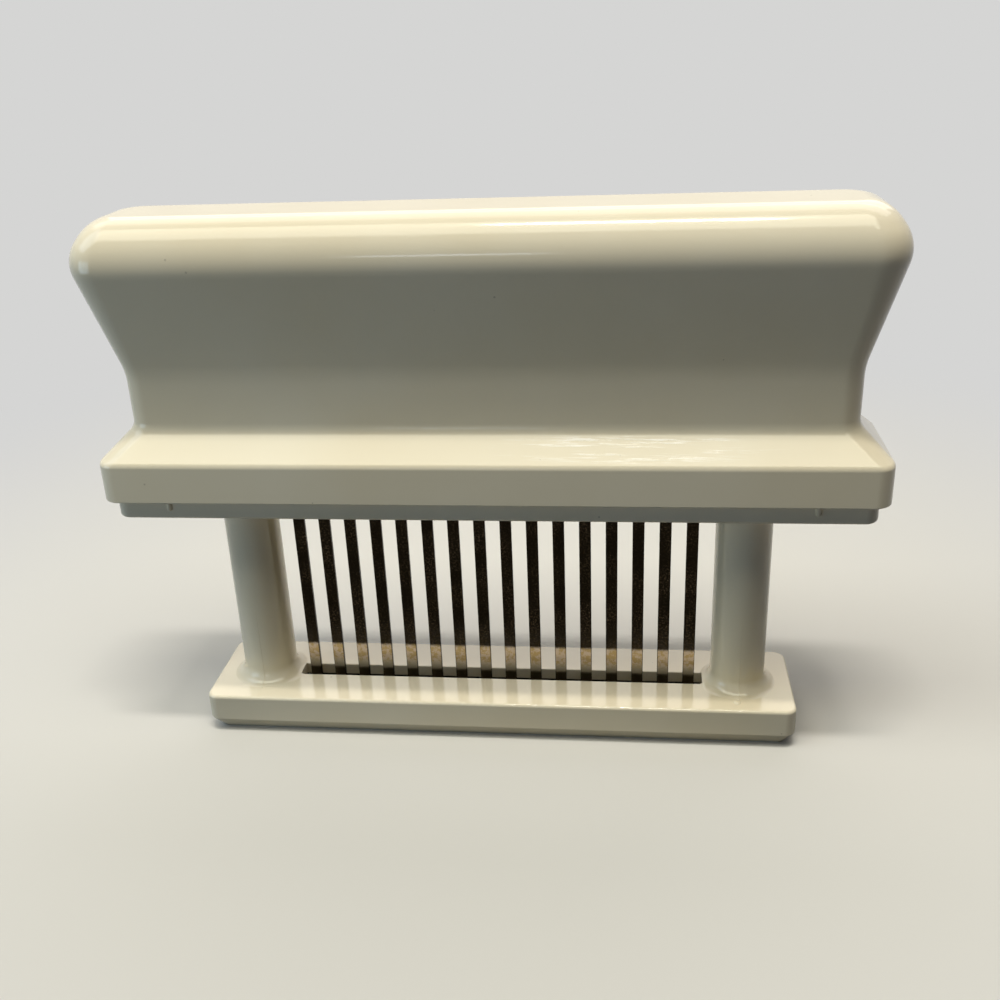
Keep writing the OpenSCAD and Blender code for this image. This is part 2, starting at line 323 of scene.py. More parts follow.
def add(tree: NodeTree, kind: str, inputs: dict | tuple = (), **settings) -> Node:
    """Adds a shader node to a tree with its settings, values and links.

    Args:
        tree: the node tree.
        kind: the node's type, without the ShaderNode that it begins with.
        inputs: what the inputs get, by their names or in the order of the ones in use. Each gets a
            value, a socket or a node, which gives its first output in use.
        settings: the node's own settings by their names.

    Returns:
        The new node.
    """
    node = tree.nodes.new("ShaderNode" + kind)
    for name, value in settings.items():
        setattr(node, name, value)
    in_use = [socket for socket in node.inputs if socket.enabled]
    named = isinstance(inputs, dict)
    for key, value in inputs.items() if named else enumerate(inputs):
        socket = node.inputs[key] if named else in_use[key]
        if isinstance(value, Node):
            value = next(output for output in value.outputs if output.enabled)
        if isinstance(value, NodeSocket):
            tree.links.new(value, socket)
        else:
            socket.default_value = value
    return node


def seen_sharply(tree: NodeTree) -> Node:
    """A share of 1 for the rays that show a surface as it is: camera, glossy and transmission rays.

    Args:
        tree: the node tree.

    Returns:
        The node that gives the share.
    """
    rays = add(tree, "LightPath").outputs
    sharp = add(tree, "Math", (rays["Is Camera Ray"], rays["Is Glossy Ray"]), operation="MAXIMUM")
    return add(tree, "Math", (sharp, rays["Is Transmission Ray"]), operation="MAXIMUM")


class Finish:
    """A finish that makes one named material. Each finish says what its surface is."""

    name: str

    def surface(self, tree: NodeTree, place: NodeSocket) -> Node:
        """Adds the nodes of the surface.

        Args:
            tree: the material's node tree.
            place: the place on the object.

        Returns:
            The shader.
        """
        raise NotImplementedError

    def material(self) -> Material:
        """Builds the material.

        Returns:
            The material.
        """
        material = bpy.data.materials.new(self.name)
        material.use_nodes = True
        tree = material.node_tree
        tree.nodes.clear()
        place = add(tree, "TexCoord").outputs["Object"]
        add(tree, "OutputMaterial", {"Surface": self.surface(tree, place)})
        return material


@dataclass(frozen=True)
class MouldedABS(Finish):
    """Injection-moulded ABS from a polished mould: glossy, cream and slightly yellowed."""

    name: str = "moulded cream ABS"
    colour: str = "#EFE6CE"
    yellowed: str = "#EADFC3"
    tone_size: float = 30.0
    tone_range: tuple = (0.35, 0.7)
    ior: float = 1.54
    roughness_polished: float = 0.06
    roughness_handled: float = 0.14
    handling_size: float = 7.0
    handling_range: tuple = (0.3, 0.75)
    sink_size: float = 14.0
    sink_depth: float = 0.016
    skin_size: float = 0.7
    skin_depth: float = 0.0012
    speck_colour: str = "#8C7F62"
    speck_spacing: float = 3.4
    speck_radius_share: float = 0.06
    speck_chance: float = 0.1
    speck_strength: float = 0.35
    scuff_colour: str = "#FFFCF2"
    scuff_centre: tuple = (26.0, -9.5, 60.2)
    scuff_reach: tuple = (27.0, 5.5, 2.6)
    scuff_full_within: float = 0.5
    scuff_lean: float = -9.0
    scuff_width: float = 0.3
    scuff_length: float = 6.0
    scuff_range: tuple = (0.5, 0.58)
    scuff_group_scale: float = 0.22
    scuff_group_range: tuple = (0.47, 0.57)
    scuff_roughness: float = 0.3
    scuff_depth: float = 0.008
    # Painted shade low on the slot's walls: its colour, its reach in X and Y, and its heights.
    slot_wall_shade: str = "#0F0C08"
    slot_wall_shade_reach: tuple = (41.0, 2.15)
    slot_wall_shade_up_to: float = 6.0
    slot_wall_shade_full_from: float = 5.75

    def surface(self, tree: NodeTree, place: NodeSocket) -> Node:
        """Adds the nodes of the plastic.

        Args:
            tree: the material's node tree.
            place: the place on the object.

        Returns:
            The shader.
        """
        # Years of light and grease yellow the plastic a little in broad, soft patches.
        tone = add(tree, "TexNoise", {
            "Vector": place, "Scale": per_metre(self.tone_size), "Detail": 2.0,
        })
        tone_share = add(tree, "MapRange", (tone, *self.tone_range))
        cream = add(tree, "Mix", (
            tone_share, linear(self.colour), linear(self.yellowed),
        ), data_type="RGBA")

        # A few dust specks lie in the surface. They are drawn a little larger than real ones, to show.
        cells = add(tree, "TexVoronoi", {"Vector": place, "Scale": per_metre(self.speck_spacing)})
        near = add(tree, "Math", (cells, self.speck_radius_share), operation="LESS_THAN")
        chance = add(tree, "SeparateColor", (cells.outputs["Color"],))
        rare = add(tree, "Math", (chance, self.speck_chance), operation="LESS_THAN")
        speck = add(tree, "Math", (near, rare), operation="MULTIPLY")
        speck_share = add(tree, "Math", (speck, self.speck_strength), operation="MULTIPLY")
        specked = add(tree, "Mix", (speck_share, cream, linear(self.speck_colour)), data_type="RGBA")

        # Rubbing has left a patch of fine pale scratches on the shoulder, in groups that lean a little.
        offset = add(tree, "VectorMath", (place, in_metres(self.scuff_centre)), operation="SUBTRACT")
        scaled = add(tree, "VectorMath", (offset, in_metres(self.scuff_reach)), operation="DIVIDE")
        distance = add(tree, "VectorMath", (scaled,), operation="LENGTH")
        patch = add(tree, "MapRange", (distance, 1.0, self.scuff_full_within))
        across = per_metre(self.scuff_width)
        leaning = add(tree, "Mapping", {
            "Vector": place, "Rotation": (0.0, math.radians(self.scuff_lean), 0.0),
            "Scale": (per_metre(self.scuff_length), across, across),
        })
        fine = add(tree, "TexNoise", {"Vector": leaning, "Scale": 1.0, "Detail": 4.0, "Roughness": 0.7})
        broad = add(tree, "TexNoise", {
            "Vector": leaning, "Scale": self.scuff_group_scale, "Detail": 3.0, "Roughness": 0.6,
        })
        scratch = add(tree, "MapRange", (fine, *self.scuff_range))
        group = add(tree, "MapRange", (broad, *self.scuff_group_range))
        where = add(tree, "Math", (patch, group), operation="MULTIPLY")
        scuff = add(tree, "Math", (where, scratch), operation="MULTIPLY")
        scuffed = add(tree, "Mix", (scuff, specked, linear(self.scuff_colour)), data_type="RGBA")

        # Painted shade: the walls of the press plate's slot are painted dark low down, where shade
        # falls deep in the slot.
        parts = add(tree, "SeparateXYZ", (place,)).outputs
        along, through = (
            add(tree, "Math", (parts[axis], 0.0, reach * MM), operation="COMPARE")
            for axis, reach in zip("XY", self.slot_wall_shade_reach)
        )
        in_slot = add(tree, "Math", (along, through), operation="MULTIPLY")
        low = add(tree, "MapRange", (parts["Z"], self.slot_wall_shade_up_to * MM, self.slot_wall_shade_full_from * MM))
        slot_wall_darkening = add(tree, "Math", (in_slot, low), operation="MULTIPLY")
        colour = add(tree, "Mix", (slot_wall_darkening, scuffed, linear(self.slot_wall_shade)), data_type="RGBA")

        # The polish is uneven where hands and washing have dulled it, and the scratches are rougher.
        handling = add(tree, "TexNoise", {
            "Vector": place, "Scale": per_metre(self.handling_size), "Detail": 5.0, "Roughness": 0.6,
        })
        polish = add(tree, "MapRange", (
            handling, *self.handling_range, self.roughness_polished, self.roughness_handled,
        ))
        roughness = add(tree, "Math", (scuff, self.scuff_roughness, polish), operation="MULTIPLY_ADD")

        # Thick sections sink by hundredths of a millimetre as they cool, the skin has a faint grain,
        # and the scratches are raised a little.
        sink = add(tree, "TexNoise", {
            "Vector": place, "Scale": per_metre(self.sink_size), "Detail": 1.0,
        })
        skin = add(tree, "TexNoise", {
            "Vector": place, "Scale": per_metre(self.skin_size), "Detail": 3.0,
        })
        normal = {}
        for height, depth in (
            (sink, self.sink_depth), (skin, self.skin_depth), (scuff, self.scuff_depth),
        ):
            normal = {"Normal": add(tree, "Bump", {
                "Height": height, "Strength": 1.0, "Distance": depth * MM, **normal,
            })}
        return add(tree, "BsdfPrincipled", {
            "Base Color": colour, "Roughness": roughness, "IOR": self.ior, **normal,
        })


@dataclass(frozen=True)
class MouldedAcetal(Finish):
    """Injection-moulded acetal: off-white, waxy and satin, because its mould isn't polished."""

    name: str = "moulded white acetal"
    colour: str = "#E9E5DA"
    shade: str = "#DDD8CA"
    ior: float = 1.48
    roughness_low: float = 0.36
    roughness_high: float = 0.5
    tone_size: float = 12.0
    tone_range: tuple = (0.3, 0.7)
    grain_size: float = 0.35
    grain_depth: float = 0.003

    def surface(self, tree: NodeTree, place: NodeSocket) -> Node:
        """Adds the nodes of the plastic.

        Args:
            tree: the material's node tree.
            place: the place on the object.

        Returns:
            The shader.
        """
        # Flow in the mould leaves soft pale and darker streaks.
        tone = add(tree, "TexNoise", {
            "Vector": place, "Scale": per_metre(self.tone_size), "Detail": 3.0,
        })
        colour = add(tree, "Mix", (tone, linear(self.colour), linear(self.shade)), data_type="RGBA")
        roughness = add(tree, "MapRange", (
            tone, *self.tone_range, self.roughness_low, self.roughness_high,
        ))

        # The spark-eroded mould gives a fine even grain.
        grain = add(tree, "TexNoise", {
            "Vector": place, "Scale": per_metre(self.grain_size), "Detail": 2.0,
        })
        bump = add(tree, "Bump", {"Height": grain, "Strength": 1.0, "Distance": self.grain_depth * MM})
        return add(tree, "BsdfPrincipled", {
            "Base Color": colour, "Roughness": roughness, "IOR": self.ior, "Normal": bump,
        })


@dataclass(frozen=True)
class RolledBladeSteel(Finish):
    """Cold-rolled stainless strip, dark on the shank and painted with a pale reflection lower down."""

    name: str = "rolled stainless blade strip"
    # Nearly black: tarnish, and a painted dark reflection.
    tarnish_and_dark_reflection: str = "#15110B"
    mottled: str = "#40362A"
    mottle_size: float = 0.4
    mottle_range: tuple = (0.48, 0.62)
    fleck: str = "#857B69"
    fleck_range: tuple = (0.66, 0.76)
    patch_size: float = 8.0
    patch_range: tuple = (0.42, 0.62)
    patch_least: float = 0.15
    # The painted reflection of the press plate low on the blade: its colours, grain and heights.
    reflection_gold: str = "#A18F6C"
    reflection_rose: str = "#B1A59C"
    reflection_grain_size: float = 0.7
    reflection_grain_range: tuple = (0.42, 0.58)
    reflection_up_to: float = 14.5
    reflection_softness: float = 0.3
    reflection_fade_up_to: float = 20.0
    reflection_fade_share: float = 0.045
    pale_reflection: str = "#B0ADA4"
    pale_reflection_up_to: float = 10.4
    pale_reflection_softness: float = 1.0
    raggedness: float = 0.7
    # Painted shade and dark reflection towards the slot's mouth.
    blade_slot_shade: str = "#4A4335"
    blade_slot_shade_up_to: float = 11.2
    blade_slot_shade_full_from: float = 8.6
    blade_slot_shade_down_to: float = 6.2
    # The colour of the sides that face along the row, and from which facing it applies.
    dark_side: str = "#231D16"
    dark_side_from: float = 0.6
    roughness_shank: float = 0.34
    roughness_swing: float = 0.08
    roughness_low_band: float = 0.13
    sheen_size: float = 2.6
    sheen_range: tuple = (0.35, 0.65)
    roll_line_size: float = 0.16
    roll_line_length: float = 9.0
    roll_line_depth: float = 0.0008

    def surface(self, tree: NodeTree, place: NodeSocket) -> Node:
        """Adds the nodes of the strip.

        Args:
            tree: the material's node tree.
            place: the place on the object.

        Returns:
            The shader.
        """
        # Washing water leaves a dark tarnish, and the shank is also painted nearly black as a painted
        # dark reflection of the room in front. In broad patches a fine brown mottle and paler flecks
        # show through it.
        mottle = add(tree, "TexNoise", {
            "Vector": place, "Scale": per_metre(self.mottle_size), "Detail": 3.0, "Roughness": 0.65,
        })
        patches = add(tree, "TexNoise", {
            "Vector": place, "Scale": per_metre(self.patch_size), "Detail": 2.0,
        })
        patch_share = add(tree, "MapRange", (patches, *self.patch_range, self.patch_least))
        shank = linear(self.tarnish_and_dark_reflection)
        for limits, spot_colour in ((self.mottle_range, self.mottled), (self.fleck_range, self.fleck)):
            spots = add(tree, "MapRange", (mottle, *limits))
            share = add(tree, "Math", (spots, patch_share), operation="MULTIPLY")
            shank = add(tree, "Mix", (share, shank, linear(spot_colour)), data_type="RGBA")

        # Painted reflection: lower down, the strip is painted with the press plate's reflection, a
        # straw-coloured band over a paler one. A faint share of it reaches a little higher up the
        # shank.
        height = add(tree, "SeparateXYZ", (place,)).outputs["Z"]
        ragged = add(tree, "Math", (mottle, self.raggedness * MM, height), operation="MULTIPLY_ADD")
        middle = self.raggedness / 2
        reflection_share, pale_reflection_share = (
            add(tree, "MapRange", (ragged, (edge + middle + soft) * MM, (edge + middle - soft) * MM))
            for edge, soft in (
                (self.reflection_up_to, self.reflection_softness), (self.pale_reflection_up_to, self.pale_reflection_softness),
            )
        )
        reflection_fade = add(tree, "MapRange", (
            height, self.reflection_fade_up_to * MM, self.reflection_up_to * MM, 0.0, self.reflection_fade_share,
        ))
        bright_share = add(tree, "Math", (reflection_share, reflection_fade), operation="MAXIMUM")
        reflection_grain = add(tree, "TexNoise", {
            "Vector": place, "Scale": per_metre(self.reflection_grain_size), "Detail": 2.0, "Roughness": 0.6,
        })
        reflection_tone_share = add(tree, "MapRange", (reflection_grain, *self.reflection_grain_range))
        reflection_tone = add(tree, "Mix", (reflection_tone_share, linear(self.reflection_gold), linear(self.reflection_rose)), data_type="RGBA")
        low = add(tree, "Mix", (pale_reflection_share, reflection_tone, linear(self.pale_reflection)), data_type="RGBA")
        bright = add(tree, "Mix", (bright_share, shank, low), data_type="RGBA")

        # Painted shade and reflection: the strip is painted darker towards the slot's mouth, standing
        # in for the shade there and the dark slot that it reflects.
        blade_slot_shade_share = add(tree, "MapRange", (height, self.blade_slot_shade_up_to * MM, self.blade_slot_shade_full_from * MM))
        above = add(tree, "Math", (height, self.blade_slot_shade_down_to * MM), operation="GREATER_THAN")
        blade_slot_darkening = add(tree, "Math", (blade_slot_shade_share, above), operation="MULTIPLY")
        face = add(tree, "Mix", (blade_slot_darkening, bright, linear(self.blade_slot_shade)), data_type="RGBA")

        # The strip's sides that face along the row are painted dark, so the painted reflection lies
        # only on its broad faces.
        facing = add(tree, "SeparateXYZ", (add(tree, "TexCoord").outputs["Normal"],))
        turned_aside = add(tree, "Math", (facing,), operation="ABSOLUTE")
        side_share = add(tree, "Math", (turned_aside, self.dark_side_from), operation="GREATER_THAN")
        colour = add(tree, "Mix", (side_share, face, linear(self.dark_side)), data_type="RGBA")
        sheen = add(tree, "TexNoise", {
            "Vector": place, "Scale": per_metre(self.sheen_size), "Detail": 2.0,
        })
        dull = add(tree, "MapRange", (
            sheen, *self.sheen_range,
            self.roughness_shank - self.roughness_swing, self.roughness_shank + self.roughness_swing,
        ))
        roughness = add(tree, "Mix", (reflection_share, dull, self.roughness_low_band), data_type="FLOAT")

        # Rolling leaves fine lines along the strip.
        across = per_metre(self.roll_line_size)
        stretched = add(tree, "Mapping", {
            "Vector": place, "Scale": (across, across, per_metre(self.roll_line_length)),
        })
        lines = add(tree, "TexNoise", {"Vector": stretched, "Scale": 1.0, "Detail": 2.0})
        bump = add(tree, "Bump", {
            "Height": lines, "Strength": 1.0, "Distance": self.roll_line_depth * MM,
        })
        return add(tree, "BsdfPrincipled", {
            "Base Color": colour, "Metallic": 1.0, "Roughness": roughness, "Normal": bump,
        })


@dataclass(frozen=True)
class DrawnSpringSteel(Finish):
    """Drawn and stamped stainless spring steel: bright, with faint drawing marks."""

    name: str = "drawn stainless spring steel"
    bright: str = "#C4C5C6"
    dull: str = "#8E8F90"
    roughness_bright: float = 0.2
    roughness_dull: float = 0.38
    mark_size: float = 0.12
    mark_length: float = 1.6
    mark_depth: float = 0.0015
    mark_range: tuple = (0.35, 0.65)

    def surface(self, tree: NodeTree, place: NodeSocket) -> Node:
        """Adds the nodes of the wire.

        Args:
            tree: the material's node tree.
            place: the place on the object.

        Returns:
            The shader.
        """
        # The die leaves faint marks round the coil, and the surface is a little duller between them.
        along = per_metre(self.mark_length)
        stretched = add(tree, "Mapping", {
            "Vector": place, "Scale": (along, along, per_metre(self.mark_size)),
        })
        marks = add(tree, "TexNoise", {"Vector": stretched, "Scale": 1.0, "Detail": 3.0})
        share = add(tree, "MapRange", (marks, *self.mark_range))
        colour = add(tree, "Mix", (share, linear(self.bright), linear(self.dull)), data_type="RGBA")
        roughness = add(tree, "MapRange", (
            marks, *self.mark_range, self.roughness_bright, self.roughness_dull,
        ))
        bump = add(tree, "Bump", {"Height": marks, "Strength": 1.0, "Distance": self.mark_depth * MM})
        return add(tree, "BsdfPrincipled", {
            "Base Color": colour, "Metallic": 1.0, "Roughness": roughness, "Normal": bump,
        })


@dataclass(frozen=True)
class PaintedFloor(Finish):
    """A pale matt painted floor that runs softly into the backdrop's colour away from the tool."""

    name: str = "pale matt floor paint"
    colour: str = "#DAD9D6"
    colour_to_diffuse_rays: str = "#2E2D2A"
    near_colour_to_diffuse_rays: str = "#A5A29A"
    near_from: float = 9.0
    near_reach: tuple = (70.0, 21.0, 1000.0)
    behind_colour_to_diffuse_rays: str = "#B9B7B1"
    behind_from: float = 5.0
    behind_to: float = 40.0
    roughness: float = 0.6
    backdrop: str = "#D5D5D4"
    fade_from: float = 70.0
    fade_to: float = 280.0

    def surface(self, tree: NodeTree, place: NodeSocket) -> Node:
        """Adds the nodes of the paint.

        Args:
            tree: the material's node tree.
            place: the place on the object.

        Returns:
            The shader.
        """
        # To diffuse rays the floor is dark in front of the tool, so that it throws less light upwards
        # there. It is lighter close beside the press plate and behind it.
        y = add(tree, "SeparateXYZ", (place,)).outputs["Y"]
        aside = add(tree, "Math", (y,), operation="ABSOLUTE")
        outside = add(tree, "Math", (aside, self.near_from * MM), operation="GREATER_THAN")
        reach = add(tree, "VectorMath", (place, in_metres(self.near_reach)), operation="DIVIDE")
        share_of_reach = add(tree, "VectorMath", (reach,), operation="LENGTH")
        near = add(tree, "Math", (outside, share_of_reach), operation="GREATER_THAN")
        thrown = add(tree, "Mix", (
            near, linear(self.colour_to_diffuse_rays), linear(self.near_colour_to_diffuse_rays),
        ), data_type="RGBA")
        behind = add(tree, "MapRange", (
            y, self.behind_from * MM, self.behind_to * MM,
        ), interpolation_type="SMOOTHSTEP")
        thrown_all = add(tree, "Mix", (
            behind, thrown, linear(self.behind_colour_to_diffuse_rays),
        ), data_type="RGBA")
        diffuse_ray = add(tree, "LightPath").outputs["Is Diffuse Ray"]
        colour = add(tree, "Mix", (diffuse_ray, linear(self.colour), thrown_all), data_type="RGBA")
        paint = add(tree, "BsdfDiffuse", {"Color": colour, "Roughness": self.roughness})

        # The painted cove behind the tool has no corner, so the floor turns into an even backdrop.
        distance = add(tree, "VectorMath", (place,), operation="LENGTH")
        fade = add(tree, "MapRange", (
            distance, self.fade_from * MM, self.fade_to * MM,
        ), interpolation_type="SMOOTHSTEP")
        share = add(tree, "Math", (fade, seen_sharply(tree)), operation="MULTIPLY")
        glow = add(tree, "Emission", {"Color": linear(self.backdrop), "Strength": 1.0})
        return add(tree, "MixShader", (share, paint, glow))


# ---- Handle ----


@dataclass
class HandleHousing:
    """The hollow handle moulding: grip bar, neck, flange, pockets and spring posts."""

    shoulder_setback: float = 5.25
    shoulder_rise: float = 5.1
    edge_height: float = 7.3
    edge_radius: float = 1.4
    foot_radius: float = 0.25
    neck_foot_radius: float = 2.8
    neck_height: float = 10.3
    crease_radius: float = 13.6
    grip_overhang: float = 0.4
    grip_edge_radius: float = 7.0
    crown_height: float = 6.3
    crown_setback: float = 4.0
    crown_edge_radius: float = 7.3
    flange_corner: float = 3.3
    neck_corner: float = 4.0
    grip_end_corner: float = 6.5
    crown_end_corner: float = 5.0
    flange_wall: float = 1.7
    neck_wall: float = 1.7
    pack_pocket_depth: float = 16.0
    pocket_depth: float = 11.6
    rib_thickness: float = 1.8
    middle_pockets: int = 4
    clip_gap: float = 0.4
    ceiling_gap: float = 0.05
    post_diameter: float = 3.8
    post_length: float = 45.0
    post_chamfer: float = 0.8
    guide_gap: float = 0.08
    arc_steps: int = 12
    small_arc_steps: int = 5
    foot_arc_steps: int = 3
    corner_steps: int = 12

    def __post_init__(self) -> None:
        """Reads the heights and lengths that the solids set."""
        low, high = node_box("handle_housing")
        self.length, self.depth = high[0] - low[0], 2 * high[1]
        self.foot, self.top = low[2], high[2]
        self.rim_top = node_box("cover_plate")[1][2]
        self.pack_top = node_box("blade_clamp_bar")[1][2]
        self.ceiling = node_box("right_spring")[1][2] + self.ceiling_gap

    def profile(self) -> list:
        """The outline of the handle's side.

        Returns:
            (set-back from the flange's edge, height, corner radius seen from above) of each ring,
            from the foot to the crown.
        """
        edge_top = self.foot + self.edge_height
        neck_bottom = edge_top + self.shoulder_rise
        foot = (0, self.foot, self.flange_corner)
        inner_foot = (-self.flange_wall / 2, self.foot, self.flange_corner)
        edge = (0, edge_top, self.flange_corner)
        neck_foot = (-self.shoulder_setback, neck_bottom, self.neck_corner)
        crease = (-self.shoulder_setback, neck_bottom + self.neck_height, self.neck_corner)
        widest = (self.grip_overhang, self.top - self.crown_height, self.grip_end_corner)
        crown = (-self.crown_setback, self.top, self.crown_end_corner)
        middle = (-self.depth / 2, self.top, 0)
        return [
            *rounded_corner(inner_foot, foot, edge, self.foot_radius, self.foot_arc_steps),
            *rounded_corner(foot, edge, neck_foot, self.edge_radius, self.arc_steps),
            *rounded_corner(edge, neck_foot, crease, self.neck_foot_radius, self.small_arc_steps),
            *rounded_corner(neck_foot, crease, widest, self.crease_radius, self.arc_steps),
            *rounded_corner(crease, widest, crown, self.grip_edge_radius, self.arc_steps),
            *rounded_corner(widest, crown, middle, self.crown_edge_radius, self.arc_steps),
        ]

    def outside(self) -> Object:
        """Lofts the outside through level rings.

        Returns:
            The solid before its pockets are cut.
        """
        return loft("handle_shell", [
            plan_ring(self.length + 2 * setback, self.depth + 2 * setback, corner, z, self.corner_steps)
            for setback, z, corner in self.profile()
        ])

    def pockets(self, column_x: float, clip_half: float) -> list:
        """The hollows that the mould's core leaves, all open downwards.

        Args:
            column_x: the distance of a column's axis from the middle.
            clip_half: half the length of a stop clip.

        Returns:
            The tool solids.
        """
        mouth = [
            plan_ring(
                self.length - 2 * self.flange_wall, self.depth - 2 * self.flange_wall,
                self.flange_corner - self.flange_wall, z, self.corner_steps,
            )
            for z in (self.foot - OVERLAP, self.rim_top)
        ]
        pack_length = self.length - (self.depth - self.pack_pocket_depth)
        column_pocket = 2 * (clip_half + self.clip_gap)
        middle_half = column_x - column_pocket / 2 - self.rib_thickness
        ribs = (self.middle_pockets - 1) * self.rib_thickness
        middle_pocket = (2 * middle_half - ribs) / self.middle_pockets
        end_start = column_x + column_pocket / 2 + self.rib_thickness
        end_stop = self.length / 2 - self.shoulder_setback - self.neck_wall
        spans = [
            (middle_pocket, -middle_half + middle_pocket / 2 + i * (middle_pocket + self.rib_thickness))
            for i in range(self.middle_pockets)
        ]
        for side in Side:
            spans.append((column_pocket, side.value * column_x))
            spans.append((end_stop - end_start, side.value * ((end_start + end_stop) / 2)))
        return [
            loft("mouth", mouth),
            block(
                "pack pocket", pack_length, self.pack_pocket_depth,
                self.rim_top - OVERLAP, self.pack_top,
            ),
            *(
                block("pocket", length, self.pocket_depth, self.pack_top - OVERLAP, self.ceiling, x)
                for length, x in spans
            ),
        ]

    def barb_recesses(self, cover: "CoverPlate") -> list:
        """The recesses that the cover plate's snap barbs sit in.

        Args:
            cover: the cover plate.

        Returns:
            The tool solids.
        """
        length = cover.barb_length + 2 * cover.barb_gap
        depth = self.depth - 2 * self.flange_wall + 2 * (cover.barb_depth + cover.barb_gap)
        bottom = self.rim_top - cover.barb_height - 2 * cover.barb_gap
        return [
            block("barb recess", length, depth, bottom, self.rim_top, side.value * cover.barb_x)
            for side in Side
        ]

    def posts(self, column_x: float, column_radius: float) -> list:
        """The spring posts and the ribs that guide the columns' upper ends.

        Args:
            column_x: the distance of a column's axis from the middle.
            column_radius: the radius of a column.

        Returns:
            The tool solids.
        """
        radius, chamfer = self.post_diameter / 2, self.post_chamfer
        end = self.ceiling - self.post_length
        rib_depth = self.pocket_depth / 2 - column_radius - self.guide_gap + OVERLAP
        top = self.ceiling + OVERLAP
        tools = []
        for side in Side:
            x = side.value * column_x
            post = [(radius - chamfer, end), (radius, end + chamfer), (radius, top)]
            tools.append(turned("spring post", post, x, sides=48))
            for back in FRONT_AND_BACK:
                y = back * (column_radius + self.guide_gap + rib_depth / 2)
                tools.append(block(
                    "guide rib", self.rib_thickness, rib_depth, self.pack_top, top, x, y,
                ))
        return tools

    def build(self, finish: Material, cover: "CoverPlate", base: "PressPlate") -> None:
        """Builds the moulding and puts it in place of its node.

        Args:
            finish: the material.
            cover: the cover plate that closes it.
            base: the press plate with the columns that slide in it.
        """
        housing = self.outside()
        clip_low, clip_high = node_box("right_stop_clip")
        hollows = self.pockets(base.column_x, (clip_high[0] - clip_low[0]) / 2)
        carve(housing, hollows + self.barb_recesses(cover), Carving.TAKE_AWAY)
        carve(housing, self.posts(base.column_x, base.column_radius), Carving.JOIN)
        put_in_place(housing, finish, Body.HANDLE, "handle_housing")


